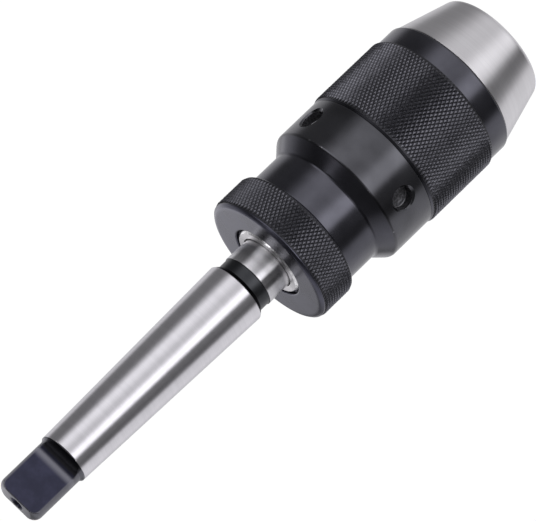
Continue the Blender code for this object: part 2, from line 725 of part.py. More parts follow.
def make_feed_screw(body):
    """Left-hand feed screw with three T-slots in its head, in which the jaws' tails slide."""
    shank = SCREW_DIAMETER / 2
    start = SCREW_BORE_START + SCREW_END_ROOM
    corners = [
        (0, start),
        (shank - SCREW_CHAMFER, start),
        (shank, start + SCREW_CHAMFER),
        (shank, HEAD_REAR),
        (HEAD_RADIUS, HEAD_REAR, EDGE),
        (HEAD_RADIUS, HEAD_FRONT, EDGE),
        (0, HEAD_FRONT),
    ]
    screw = turned_piece("feed_screw", corners, closed=False, colour=(0.45, 0.45, 0.47), roughness=0.3,
                         parent=body)
    narrow = SLOT_HALF_WIDTH
    wide = T_HALF_WIDTH + SLIP
    low = T_REAR - SLIP
    lip = T_FRONT + SLIP
    open_end = HEAD_FRONT + OVER
    outline = [(-wide, low), (wide, low), (wide, lip), (narrow, lip),
               (narrow, open_end), (-narrow, open_end), (-narrow, lip), (-wide, lip)]
    inner = T_INNER_RADIUS - RUNNING
    length = HEAD_RADIUS + OVER - inner
    mesh = upright_slab("t_slot", outline, length)
    mesh.transform(Matrix.Rotation(math.pi / 2, 4, "Z"))
    mesh.transform(Matrix.Translation((inner + length / 2, 0, 0)))
    for i in range(JAW_COUNT):
        cutter = add_cutter(f"t_slot_{i + 1}", mesh)
        cutter.rotation_euler.z = jaw_azimuth(i)
        boolean(screw, cutter)


def jaw_mesh():
    """One jaw at azimuth 0, open: a bar on the cone's slope, a V-shaped grip and a T-shaped tail."""
    grip = GRIP_OPEN_DIAMETER / 2
    tail = T_OPEN_INNER_RADIUS
    land = GRIP_LAND / 2
    half = JAW_WIDTH / 2
    outside = JAW_OUTSIDE
    back_tip = cone_radius(JAW_TIP) - RUNNING
    chamfer = JAW_TIP_CHAMFER
    relief = HEAD_FRONT + FACE
    past = outside + 2 * OVER
    side = [
        (grip, JAW_TIP),
        (back_tip - chamfer, JAW_TIP),
        (back_tip + chamfer * JAW_SLOPE, JAW_TIP - chamfer),
        (past, cone_station(past + RUNNING)),
        (past, T_REAR),
        (tail, T_REAR),
        (tail, relief),
        (grip, relief + (tail - grip)),
    ]
    jaw = add_cutter("jaw_bar", upright_slab("jaw_bar", side, JAW_WIDTH))
    boolean(jaw, make_jaw_section(grip, land, half), "INTERSECT")
    boolean(jaw, make_jaw_back(), "INTERSECT")
    t_block = block_mesh("jaw_tail", (tail, -T_HALF_WIDTH, T_REAR), (past, T_HALF_WIDTH, T_FRONT))
    boolean(jaw, add_cutter("jaw_tail", t_block), "UNION")
    turning = turned_cutter("jaw_turning", [(0, T_REAR - OVER), (outside, T_REAR - OVER),
                                            (outside, NOSE_FRONT), (0, NOSE_FRONT)], JAW_SEGMENTS)
    boolean(jaw, turning, "INTERSECT")
    mesh = evaluated_mesh(jaw)
    mesh.name = "jaw"
    mesh.materials.clear()
    return mesh


def make_jaw_section(grip, land, half):
    """The jaw's cross-section: a narrow gripping land between flanks that let three jaws close."""
    shoulder = grip + (half - land) / math.sqrt(3)
    far = 2 * NOSE_BORE
    side = half + OVER
    outline = [(grip, -land), (shoulder, -half), (shoulder, -side), (far, -side),
               (far, side), (shoulder, side), (shoulder, half), (grip, land)]
    length = 2 * (JAW_TIP - T_REAR)
    mesh = slab_mesh("jaw_section", outline, length)
    mesh.transform(Matrix.Translation((0, 0, -(JAW_TIP + T_REAR) / 2)))
    return add_cutter("jaw_section", mesh)


def make_jaw_back():
    """Round bar along the jaw's path, whose outermost line keeps clear of the cone."""
    length = 4 * (JAW_TIP - T_REAR)
    bar = bmesh.new()
    bmesh.ops.create_cone(bar, cap_ends=True, segments=OUTER_SEGMENTS, radius1=JAW_BACK_RADIUS,
                          radius2=JAW_BACK_RADIUS, depth=length)
    mesh = bpy.data.meshes.new("jaw_back")
    bar.to_mesh(mesh)
    bar.free()
    obj = add_cutter("jaw_back", mesh)
    centre = cone_radius(JAW_TIP) - RUNNING - JAW_BACK_RADIUS / math.cos(JAW_ANGLE)
    obj.rotation_euler.y = JAW_ANGLE
    obj.location = (centre, 0, -JAW_TIP)
    return obj


def make_jaws(parents):
    mesh = jaw_mesh()
    for i, parent in enumerate(parents):
        jaw = add_piece(f"jaw_{i + 1}", mesh, (0.5, 0.5, 0.52), 0.3, 1.0, parent)
        jaw.rotation_euler.z = jaw_azimuth(i)


clear_scene()
PARTS = new_collection("keyless_drill_chuck")
CUTTERS = new_collection("cutters")

hub_empty = joint_empty("arbor_and_hub")
sleeve_empty = joint_empty("sleeve_axis")
cage_empty = joint_empty("cage_axis")
screw_empty = joint_empty("feed_screw_axis")
jaw_empties = [joint_empty(f"jaw_{i + 1}_path") for i in range(JAW_COUNT)]

make_arbor(hub_empty)
make_hub(hub_empty)
make_rear_ring(hub_empty)
make_seal(hub_empty)
make_race("hub_race", HUB_RACE_REAR, hub_empty)
make_ball_cage(cage_empty)
make_hood(sleeve_empty)
make_race("hood_race", RACE_SEAT + SLIP, sleeve_empty)
make_knurled_sleeve(sleeve_empty)
make_nose(sleeve_empty)
make_jaw_guide(sleeve_empty)
make_guide_pins(sleeve_empty)
make_feed_screw(screw_empty)
make_jaws(jaw_empties)
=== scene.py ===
"""Looks of the keyless drill chuck with its Morse taper 2 arbor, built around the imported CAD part.

The frame is the CAD frame: the chuck's axis is Z, +Z towards the tang, and the origin is the centre of
the taper's gauge plane. Stations count along the axis from that plane towards the nose, so a station s
lies at z = -s. Outlines, radii and stations are in millimetres, and metres() turns them into the
frame's metres where a mesh is made.
"""

import math

import bmesh
import bpy
from mathutils import Matrix, Vector, noise


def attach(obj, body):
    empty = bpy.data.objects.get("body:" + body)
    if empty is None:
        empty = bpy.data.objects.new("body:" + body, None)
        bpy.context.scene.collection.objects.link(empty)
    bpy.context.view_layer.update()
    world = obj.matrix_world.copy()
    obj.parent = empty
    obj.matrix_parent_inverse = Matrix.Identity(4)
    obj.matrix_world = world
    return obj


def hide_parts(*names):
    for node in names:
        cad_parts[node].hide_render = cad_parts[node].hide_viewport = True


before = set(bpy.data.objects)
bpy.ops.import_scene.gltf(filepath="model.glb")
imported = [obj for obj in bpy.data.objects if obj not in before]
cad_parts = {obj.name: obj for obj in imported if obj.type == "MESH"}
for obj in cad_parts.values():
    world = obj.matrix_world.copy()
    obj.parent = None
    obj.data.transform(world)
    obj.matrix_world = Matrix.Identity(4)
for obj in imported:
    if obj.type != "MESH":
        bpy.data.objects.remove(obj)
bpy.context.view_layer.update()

# Camera, at the photograph's viewing angle
CAMERA_AIM = Vector((0.00023, -0.000034, -0.01759))
CAMERA_AZIMUTH = math.radians(-8.5)
CAMERA_ELEVATION = math.radians(18.01)
CAMERA_ROLL = math.radians(133.913)
CAMERA_DISTANCE = 1.05138
CAMERA_LENS = 272.23
SENSOR_WIDTH = 36

# Arbor: Morse taper 2 shank, tang, undercut and B16 spigot
GAUGE_RADIUS = 8.89
MORSE_SLOPE = 1 / 20.020 / 2
SMALL_END = -59
TANG_END = -75.2
TANG_RADIUS = 6.85
TANG_HALF = 3.15
TANG_FLAT_END = -62.15
RUNOUT_RADIUS = 4
TANG_CORNER = 2.1
TANG_EDGE = 0.2
TANG_SHARPNESS = 200
CENTRE_HOLE = 1.6
CENTRE_HOLE_DEPTH = 4.5
OXIDE_END = -58.2
BIG_END = 5
UNDERCUT_END = 9.7
UNDERCUT_RADIUS = 7.75
SPIGOT_RADIUS = 8.01
SPIGOT_END = 38.7

# Stations of the chuck, and the hub's radii
HUB_REAR = 17
HUB_SHOULDER = 26.75
HUB_SEAT = 10.5
HUB_RIM = 0.55
HUB_NECK = 12.6
RING_FRONT = 28.4
HOOD_REAR = 28.8
SEAL_STATION = 33.3
NECK_END = 39.4
BARREL_START = 43.4
BARREL_LIP = 56.9
HOOD_FRONT = 66.1
SLEEVE_REAR = 56.95
KNURL_END = 80.6
SLEEVE_FRONT = 86.8
NOSE_REAR = 86.95
NOSE_FRONT = 104.25

# Insides of the hollow pieces, and the radius where hood, sleeve and nose meet
HUB_THREAD_RADIUS = 7.75
HUB_THREAD_REAR = 42.2
HUB_SOCKET_FRONT = 39.5
HUB_VENT_RADIUS = 2.5
HUB_STEM_RADIUS = 10.5
HUB_FRONT = 66.3
FLANGE_RADIUS = 18.0
FLANGE_REAR = 51.4
FLANGE_FRONT = 56.6
SEAL_GROOVE_RADIUS = 11.2
SEAL_GROOVE_HALF = 0.85
HOOD_REAR_BORE = 13.1
HOOD_BORE = 17.2
HOOD_BORE_REAR = 44.6
HOOD_SKIRT_BORE = 17.9
HOOD_SKIRT_REAR = 57.1
JOINT_RADIUS = 19.4
SLEEVE_BORE = 19.55
NOSE_SKIRT_RADIUS = 17.75
NOSE_SKIRT_REAR = 59.85
NOSE_BORE = 16
MOUTH_RADIUS = 9.19
MOUTH_CHAMFER = 0.6
JAW_ANGLE = math.radians(20)

# Outer radii of the chuck
RING_RADIUS = 20
RING_CHAMFER = 1.15
NECK_RADIUS = 17.95
BARREL_RADIUS = 21.43
KNURL_RADIUS = 21.95
BAND_RADIUS = 21.3
NOSE_BASE = 20.9
NOSE_ANGLE = math.radians(15.2)

# Spanner holes in the hood's barrel
SPANNER_HOLE_ANGLES = (-134.5, -34.5, 95.5)
SPANNER_HOLE_STATION = 50.1
SPANNER_HOLE_RADIUS = 3.15
SPANNER_HOLE_DEPTH = 3.1

# Diamond knurl: pyramids with small flats, on lines of two hands that lean a little differently
KNURL_DEPTH = 0.36
KNURL_FLAT = 0.07
KNURL_TWIST = 0.1
KNURL_SPACING = 0.9667
KNURL_UNEVENNESS = 0.035
SLEEVE_TEETH = 118
RING_TEETH = 108

# Roundness of turned pieces
TURNED_SEGMENTS = 192
FINE_SEGMENTS = 384
ARC_STEP = math.radians(12)


def metres(length):
    """A length in metres, from one in millimetres."""
    return length / 1000


def morse_radius(station):
    """Radius of the Morse taper at a station."""
    return GAUGE_RADIUS + station * MORSE_SLOPE


def spigot_radius(station):
    """Radius of the B16 spigot at a station."""
    return SPIGOT_RADIUS - (station - UNDERCUT_END) * MORSE_SLOPE


# Node helpers


def node(tree, kind, inputs=None, **settings):
    """A new shader node. Inputs are values or the sockets that feed them."""
    made = tree.nodes.new("ShaderNode" + kind)
    for name, value in settings.items():
        setattr(made, name, value)
    for key, value in (inputs or {}).items():
        if isinstance(value, bpy.types.NodeSocket):
            tree.links.new(value, made.inputs[key])
        else:
            made.inputs[key].default_value = value
    return made


def calculate(tree, operation, first, second=0.0):
    """The result of a Math node."""
    return node(tree, "Math", {0: first, 1: second}, operation=operation).outputs[0]


def ramp(tree, value, start, end, low=0.0, high=1.0):
    """value carried smoothly from low at start to high at end."""
    inputs = {"Value": value, "From Min": start, "From Max": end, "To Min": low, "To Max": high}
    return node(tree, "MapRange", inputs, interpolation_type="SMOOTHSTEP").outputs["Result"]


def blend_values(tree, factor, first, second):
    """A number between first and second."""
    made = node(tree, "Mix", {"Factor": factor, "A": first, "B": second}, data_type="FLOAT")
    return made.outputs["Result"]


def blend_colours(tree, factor, first, second):
    """A colour between first and second."""
    made = node(tree, "Mix", {"Factor": factor}, data_type="RGBA")
    for socket, value in ((made.inputs[6], first), (made.inputs[7], second)):
        if isinstance(value, bpy.types.NodeSocket):
            tree.links.new(value, socket)
        else:
            socket.default_value = (*value, 1)
    return made.outputs[2]


def grain(tree, scale, detail=2.0, stretch=(1, 1, 1), roughness=0.5):
    """Noise in the piece's own coordinates, with a pattern of about 1 / scale metres."""
    place = node(tree, "TexCoord").outputs["Object"]
    stretched = node(tree, "Mapping", {"Vector": place, "Scale": stretch}).outputs[0]
    inputs = {"Vector": stretched, "Scale": scale, "Detail": detail, "Roughness": roughness}
    return node(tree, "TexNoise", inputs).outputs["Fac"]


def own_height(tree):
    """The shaded point's height in the piece's own coordinates, in metres."""
    return node(tree, "SeparateXYZ", {0: node(tree, "TexCoord").outputs["Object"]}).outputs["Z"]


def distance_from_axis(tree):
    """The shaded point's distance from the chuck's axis, in metres."""
    place = node(tree, "TexCoord").outputs["Object"]
    flat = node(tree, "VectorMath", {0: place, 1: (1, 1, 0)}, operation="MULTIPLY").outputs[0]
    return node(tree, "VectorMath", {0: flat}, operation="LENGTH").outputs["Value"]


def new_material(name, roughness, metallic=1.0, **values):
    """A material's tree and its shader, with the values that are the same all over set on the shader."""
    material = bpy.data.materials.new(name)
    material.use_nodes = True
    tree = material.node_tree
    shader = tree.nodes["Principled BSDF"]
    shader.inputs["Roughness"].default_value = roughness
    shader.inputs["Metallic"].default_value = metallic
    for key, value in values.items():
        shader.inputs[key.replace("_", " ")].default_value = value
    return material, tree, shader


def connect(tree, shader, **sockets):
    for key, socket in sockets.items():
        tree.links.new(socket, shader.inputs[key.replace("_", " ")])


def bump(tree, height, depth):
    """A bump normal from a height, where depth is how many metres a height of 1 stands for."""
    return node(tree, "Bump", {"Height": height, "Distance": depth}).outputs[0]


def around_axis(tree):
    """A tangent that runs round the chuck's axis, along the turning and grinding marks."""
    return node(tree, "Tangent", direction_type="RADIAL", axis="Z").outputs[0]


# Stretch of the noise that makes the fine lines of turning and grinding
TURNING_LINES = (14, 14, 5200)

# Stations between which the spigot's steel is painted brighter, as painted light
PAINTED_LIGHT_START = 12.4
PAINTED_LIGHT_END = 14.8

# Pale steel of nicks rubbed through the black, which also paint an edge's highlight
HIGHLIGHT_WEAR_STEEL = (0.3, 0.3, 0.315)


def ground_steel(name="ground_steel", colour=(0.66, 0.65, 0.672), roughness=0.3, drawn=0.8, painted_light_colour=None):
    """Bright steel, ground all round, with fine lines round the axis and faint handling marks.

    The last argument is a brighter colour painted onto the steel towards the hub's socket, as painted
    light.
    """
    material, tree, shader = new_material(name, roughness, Anisotropic=drawn, Anisotropic_Rotation=0.25)
    lines = grain(tree, 1.0, 3.0, TURNING_LINES)
    streaks = grain(tree, 1.0, 2.0, (30, 30, 700))
    clouds = grain(tree, 90.0, 4.0)
    mixed = calculate(tree, "MULTIPLY", lines, streaks)
    darker = tuple(c * 0.95 for c in colour)
    lighter = tuple(min(1, c * 1.03) for c in colour)
    tint = blend_colours(tree, ramp(tree, mixed, 0.12, 0.4), darker, lighter)
    # Painted light: the steel is painted brighter towards the hub's socket
    if painted_light_colour:
        nearness = ramp(tree, own_height(tree), -metres(PAINTED_LIGHT_START), -metres(PAINTED_LIGHT_END))
        tint = blend_colours(tree, nearness, tint, painted_light_colour)
    rough = calculate(tree, "ADD", roughness - 0.06, calculate(tree, "MULTIPLY", clouds, 0.12))
    connect(tree, shader, Base_Color=tint, Roughness=rough, Tangent=around_axis(tree),
            Normal=bump(tree, lines, 0.0000012))
    return material


def black_oxide(name="black_oxide", colour=(0.077, 0.077, 0.09), roughness=0.2, highlight_wear_edge=None):
    """Blackened steel with a soft satin gloss, faint turning lines and slightly uneven colour.

    The last argument is the station of an edge where the black is rubbed off in places, in pale nicks that
    also paint the edge's highlight.
    """
    material, tree, shader = new_material(name, roughness)
    lines = grain(tree, 1.0, 3.0, TURNING_LINES)
    clouds = grain(tree, 120.0, 5.0)
    darker = tuple(c * 0.85 for c in colour)
    lighter = tuple(c * 1.15 for c in colour)
    tint = blend_colours(tree, ramp(tree, clouds, 0.3, 0.7), darker, lighter)
    if highlight_wear_edge:
        # Pale nicks along the edge: wear that also paints the edge's highlight
        away = calculate(tree, "ABSOLUTE", calculate(tree, "ADD", own_height(tree), metres(highlight_wear_edge)))
        highlight_nicks = ramp(tree, grain(tree, 420.0, 6.0, (1, 1, 0.3), 0.7), 0.6, 0.68)
        highlight_wear = calculate(tree, "MULTIPLY", highlight_nicks, ramp(tree, away, metres(0.3), metres(0.08)))
        tint = blend_colours(tree, highlight_wear, tint, HIGHLIGHT_WEAR_STEEL)
    rough = calculate(tree, "ADD", roughness - 0.05, calculate(tree, "MULTIPLY", clouds, 0.1))
    connect(tree, shader, Base_Color=tint, Roughness=rough, Normal=bump(tree, lines, 0.000003))
    return material


def knurl_oxide(name, valley, tip, roughness):
    """Blackened knurl: the grooves are painted darker as shade, and the points painted a little brighter
    as highlights.
    """
    material, tree, shader = new_material(name, 0.3)
    # Painted shade in the grooves and painted highlights on the points, by distance from the axis
    height = ramp(tree, distance_from_axis(tree), metres(valley), metres(valley + 0.55 * (tip - valley)))
    clouds = grain(tree, 160.0, 5.0)
    low = blend_colours(tree, clouds, (0.03, 0.03, 0.034), (0.06, 0.06, 0.066))
    high = blend_colours(tree, clouds, (0.13, 0.13, 0.146), (0.18, 0.18, 0.202))
    tint = blend_colours(tree, height, low, high)
    rough = blend_values(tree, height, roughness + 0.15, roughness)
    specks = grain(tree, 1500.0, 3.0)
    connect(tree, shader, Base_Color=tint, Roughness=rough, Normal=bump(tree, specks, 0.00009))
    return material


def tang_oxide():
    """The tang's blackened, hardened skin, matt with a blue and violet cast in patches."""
    material, tree, shader = new_material("tang_oxide", 0.42)
    patches = grain(tree, 190.0, 6.0, roughness=0.6)
    fine = grain(tree, 1500.0, 4.0)
    blue = blend_colours(tree, ramp(tree, patches, 0.35, 0.65), (0.036, 0.037, 0.06), (0.05, 0.051, 0.084))
    tint = blend_colours(tree, calculate(tree, "MULTIPLY", fine, 0.3), blue, (0.03, 0.03, 0.034))
    place = node(tree, "TexCoord").outputs["Object"]
    parts = node(tree, "SeparateXYZ", {0: place})
    height = parts.outputs["Z"]
    # The cutter's run-out is painted paler as light, and painted darker as shade where it ends by the cone
    tint = blend_colours(tree, ramp(tree, height, metres(60.8), metres(60.2)), tint, (0.055, 0.055, 0.062))
    tint = blend_colours(tree, ramp(tree, height, metres(60.2), metres(59.7)), tint, (0.036, 0.036, 0.042))
    # The rounded rim of the flats is rubbed paler
    across = calculate(tree, "SUBTRACT", calculate(tree, "ABSOLUTE", parts.outputs["X"]), metres(3.9))
    along = calculate(tree, "SUBTRACT", height, metres(73.1))
    outside = {0: calculate(tree, "MAXIMUM", across), 1: calculate(tree, "MAXIMUM", along)}
    reach = node(tree, "VectorMath", {0: node(tree, "CombineXYZ", outside).outputs[0]}, operation="LENGTH")
    rim = ramp(tree, reach.outputs["Value"], metres(1.7), metres(2.1))
    tint = blend_colours(tree, rim, tint, (0.12, 0.12, 0.135))
    # A straight painted highlight band crosses the flats beside the run-out
    rise = ramp(tree, height, metres(60.9), metres(61.8))
    fall = ramp(tree, height, metres(63.8), metres(62))
    painted_highlight = calculate(tree, "MULTIPLY", rise, fall)
    tint = blend_colours(tree, calculate(tree, "MULTIPLY", painted_highlight, 0.85), tint, (0.19, 0.19, 0.215))
    rough = calculate(tree, "ADD", 0.26, calculate(tree, "MULTIPLY", patches, 0.14))
    connect(tree, shader, Base_Color=tint, Roughness=rough, Normal=bump(tree, fine, 0.000012))
    return material


def plain_steel(name, colour, roughness, marks=900, depth=0.000004, pitted=0.0):
    """Hardened or milled steel with fine, directionless marks. pitted is how dark its small pits are."""
    material, tree, shader = new_material(name, roughness)
    fine = grain(tree, marks, 4.0)
    clouds = grain(tree, 150.0, 3.0)
    darker = tuple(c * 0.88 for c in colour)
    lighter = tuple(min(1, c * 1.1) for c in colour)
    tint = blend_colours(tree, clouds, darker, lighter)
    pits = calculate(tree, "MULTIPLY", ramp(tree, fine, 0.54, 0.46), pitted)
    tint = blend_colours(tree, pits, tint, (0.03, 0.03, 0.03))
    rough = calculate(tree, "ADD", roughness - 0.06, calculate(tree, "MULTIPLY", clouds, 0.12))
    connect(tree, shader, Base_Color=tint, Roughness=rough, Normal=bump(tree, fine, depth))
    return material


def seal_rubber():
    material, tree, shader = new_material("seal_rubber", 0.6, metallic=0.0)
    fine = grain(tree, 1800.0, 3.0)
    tint = blend_colours(tree, fine, (0.012, 0.012, 0.012), (0.03, 0.03, 0.032))
    connect(tree, shader, Base_Color=tint, Normal=bump(tree, fine, 0.00001))
    return material


# Mesh helpers


def rounded(corners, closed=False):
    """Outline through (radius, station) corners, where a third value is a fillet, drawn as an arc."""
    outline = []
    last = len(corners) - 1
    for i, (radius, station, *fillet) in enumerate(corners):
        corner = Vector((radius, station))
        if not fillet or (not closed and i in (0, last)):
            outline.append(corner)
            continue
        back = Vector(corners[i - 1][:2]) - corner
        ahead = Vector(corners[(i + 1) % len(corners)][:2]) - corner
        half = back.angle(ahead) / 2
        reach = min(fillet[0] / math.tan(half), 0.48 * min(back.length, ahead.length))
        size = reach * math.tan(half)
        centre = corner + (back.normalized() + ahead.normalized()).normalized() * size / math.sin(half)
        first = corner + back.normalized() * reach - centre
        sweep = first.angle_signed(corner + ahead.normalized() * reach - centre)
        steps = max(2, math.ceil(abs(sweep) / ARC_STEP))
        for step in range(steps + 1):
            outline.append(centre + first @ Matrix.Rotation(sweep * step / steps, 2))
    return outline


def piece(name, mesh, body, nodes, materials):
    """A finished piece that stands for CAD nodes and moves with their body."""
    for material in materials:
        mesh.materials.append(material)
    obj = bpy.data.objects.new(name, mesh)
    bpy.context.scene.collection.objects.link(obj)
    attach(obj, body)
    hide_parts(*nodes)
    return obj


def smooth(mesh, sharp=30):
    """Smooth shading, except across edges sharper than an angle in degrees."""
    mesh.shade_smooth()
    mesh.set_sharp_from_angle(angle=math.radians(sharp))


def weigh_normals(obj):
    """Flat and round faces keep their own shading, so that only the fillets between them bend it."""
    modifier = obj.modifiers.new("weigh_normals", "WEIGHTED_NORMAL")
    modifier.keep_sharp = True
    modifier.weight = 100


def skin(name, rings, closed):
    """A mesh from rings of points of equal count. An open skin starts and ends in a point on the axis."""
    points, faces = [], []
    starts = []
    for ring in rings:
        starts.append((len(points), len(ring)))
        points += ring
    pairs = list(zip(starts, starts[1:]))
    if closed:
        pairs.append((starts[-1], starts[0]))
    for (low, low_count), (high, high_count) in pairs:
        count = max(low_count, high_count)
        for j in range(count):
            k = (j + 1) % count
            if low_count == 1:
                faces.append((low, high + k, high + j))
            elif high_count == 1:
                faces.append((low + j, low + k, high))
            else:
                faces.append((low + j, low + k, high + k, high + j))
    mesh = bpy.data.meshes.new(name)
    mesh.from_pydata(points, [], faces)
    mesh.validate()
    fix = bmesh.new()
    fix.from_mesh(mesh)
    bmesh.ops.recalc_face_normals(fix, faces=fix.faces)
    fix.to_mesh(mesh)
    fix.free()
    return mesh


def ring_at(radius, station, segments, turn=0.0):
    """Points of a circle round the axis, or the one point on the axis."""
    if radius == 0:
        return [(0, 0, -metres(station))]
    angles = [2 * math.pi * j / segments + turn for j in range(segments)]
    return [(metres(radius) * math.cos(a), metres(radius) * math.sin(a), -metres(station)) for a in angles]


def turned(name, corners, closed=True, segments=TURNED_SEGMENTS):
    """Mesh of a turned piece. A closed outline makes a ring, an open one starts and ends on the axis."""
    outline = rounded(corners, closed)
    mesh = skin(name, [ring_at(radius, station, segments) for radius, station in outline], closed)
    smooth(mesh)
    return mesh


# The pieces


def tang_face(station):
    """Half thickness of the tang at a station: flats, and the cutter's round run-out."""
    if station <= TANG_FLAT_END:
        into_edge = TANG_END + TANG_EDGE - station
        if into_edge <= 0:
            return TANG_HALF
        return TANG_HALF - TANG_EDGE + math.sqrt(max(0.0, TANG_EDGE ** 2 - into_edge ** 2))
    along = station - TANG_FLAT_END
    if along >= RUNOUT_RADIUS:
        return math.inf
    return TANG_HALF + RUNOUT_RADIUS - math.sqrt(RUNOUT_RADIUS ** 2 - along ** 2)


def tang_ring(radius, station, segments):
    """A ring of the arbor, flattened where the tang's faces cut it."""
    face = tang_face(station)
    if radius == 0 or face is math.inf:
        return ring_at(radius, station, segments)
    points = []
    for j in range(segments):
        angle = 2 * math.pi * j / segments
        pull = radius * abs(math.sin(angle)) / face
        size = radius / (1 + pull ** TANG_SHARPNESS) ** (1 / TANG_SHARPNESS)
        points.append((metres(size) * math.cos(angle), metres(size) * math.sin(angle), -metres(station)))
    return points


def make_arbor(steel, oxide, tang, spigot, shade):
    hole_end = TANG_END + CENTRE_HOLE_DEPTH
    corners = [
        (0, hole_end + CENTRE_HOLE / 2),
        (CENTRE_HOLE, hole_end),
        (CENTRE_HOLE, TANG_END + 0.6),
        (CENTRE_HOLE + 0.6, TANG_END),
        (TANG_RADIUS, TANG_END, TANG_CORNER),
        (TANG_RADIUS, TANG_FLAT_END - 0.5),
        (TANG_RADIUS, SMALL_END - 0.25, 0.2),
        (TANG_RADIUS + 0.25, SMALL_END, 0.05),
        (morse_radius(SMALL_END) - 0.4, SMALL_END, 0.05),
        (morse_radius(SMALL_END + 0.4), SMALL_END + 0.4, 0.15),
        (morse_radius(OXIDE_END), OXIDE_END),
        (morse_radius(OXIDE_END + 0.3), OXIDE_END + 0.3),
        (morse_radius(OXIDE_END + 0.8), OXIDE_END + 0.8),
        (morse_radius(BIG_END - 1.2), BIG_END - 1.2),
        (morse_radius(BIG_END), BIG_END, 0.4),
        (8.4, BIG_END + 0.8, 0.3),
        (UNDERCUT_RADIUS, BIG_END + 1.3, 0.2),
        (UNDERCUT_RADIUS, UNDERCUT_END, 0.2),
        (SPIGOT_RADIUS, UNDERCUT_END, 0.15),
        (spigot_radius(UNDERCUT_END + 0.6), UNDERCUT_END + 0.6),
        (spigot_radius(SPIGOT_END), SPIGOT_END, 0.8),
        (0, SPIGOT_END),
    ]
    outline = []
    for point in rounded(corners):
        gap = station_gap(outline[-1], point) if outline else 0.0
        steps = math.ceil(gap / 0.25)
        start = outline[-1] if outline else point
        outline += [start.lerp(point, step / steps) for step in range(1, steps)]
        outline.append(point)
    mesh = skin("arbor", [tang_ring(radius, station, FINE_SEGMENTS) for radius, station in outline], False)
    smooth(mesh, 34)
    obj = piece("arbor", mesh, "arbor_and_hub", ["taper_arbor"],
                [steel, oxide, tang, spigot, shade])
    for face in mesh.polygons:
        station = -face.center.z * 1000
        if station < OXIDE_END:
            face.material_index = 2
        # The chamfer at the cone's big end takes a near-black, painted shade
        elif BIG_END + 0.15 < station < BIG_END + 1.4:
            face.material_index = 4
        elif BIG_END + 1.4 < station < UNDERCUT_END + 0.02 and face.center.xy.length < metres(8.0):
            face.material_index = 1
        elif station > UNDERCUT_END - 0.05:
            face.material_index = 3
    return obj


def station_gap(first, second):
    """Distance along the axis between two outline points in the tang's run-out, where rings lie close."""
    if first.x == 0 or second.y > OXIDE_END + 0.5 or second.y < TANG_FLAT_END - 0.6:
        return 0.0
    return abs(second.y - first.y)


def make_hub(steel, rim):
    corners = [
        (HUB_SEAT - HUB_RIM, HUB_REAR),
        (HUB_SEAT, HUB_REAR + HUB_RIM),
        (HUB_SEAT, HUB_SHOULDER, 0.1),
        (HUB_NECK, HUB_SHOULDER, 0.3),
        (HUB_NECK, SEAL_STATION - SEAL_GROOVE_HALF),
        (SEAL_GROOVE_RADIUS, SEAL_STATION - SEAL_GROOVE_HALF),
        (SEAL_GROOVE_RADIUS, SEAL_STATION + SEAL_GROOVE_HALF),
        (HUB_NECK, SEAL_STATION + SEAL_GROOVE_HALF),
        (HUB_NECK, FLANGE_REAR),
        (FLANGE_RADIUS, FLANGE_REAR, 0.3),
        (FLANGE_RADIUS, FLANGE_FRONT, 0.3),
        (HUB_STEM_RADIUS, FLANGE_FRONT, 0.8),
        (HUB_STEM_RADIUS, HUB_FRONT, 0.3),
        (HUB_THREAD_RADIUS + 0.6, HUB_FRONT),
        (HUB_THREAD_RADIUS, HUB_FRONT - 0.6),
        (HUB_THREAD_RADIUS, HUB_THREAD_REAR),
        (HUB_VENT_RADIUS, HUB_THREAD_REAR),
        (HUB_VENT_RADIUS, HUB_SOCKET_FRONT),
        (spigot_radius(HUB_SOCKET_FRONT) + 0.1, HUB_SOCKET_FRONT),
        (spigot_radius(HUB_REAR + 1.8) + 0.1, HUB_REAR + 1.8),
        (spigot_radius(HUB_REAR) + 0.4, HUB_REAR + 1.4),
        (spigot_radius(HUB_REAR) + 0.4, HUB_REAR, 0.08),
    ]
    mesh = turned("chuck_hub", corners)
    obj = piece("chuck_hub", mesh, "arbor_and_hub", ["hub"], [steel, rim])
    for face in mesh.polygons:
        # The rim's chamfer takes far brighter steel than the hub, a painted glint
        outside = face.center.xy.length > metres(HUB_SEAT - HUB_RIM)
        if outside and -face.center.z < metres(HUB_REAR + HUB_RIM):
            face.material_index = 1
    weigh_normals(obj)
    return obj


def knurl_rows(start, end, teeth, start_radius, end_radius):
    """Rows of a diamond knurl as (radius of a plain edge, station, turn, parity) between two plain edges.

    The knurl is a checkerboard: a row holds groove crossings and pyramid points in turn, half a pitch
    apart, and the next row is shifted by half a pitch.
    """
    count = max(2, round((end - start) / KNURL_SPACING))
    step = (end - start) / count
    rows = []
    for k in range(count + 1):
        station = start + k * step
        edge = start_radius if k == 0 else end_radius if k == count else None
        twist = -math.pi * KNURL_TWIST * (station - start) / teeth
        rows.append((edge, station, twist, k % 2))
    return rows


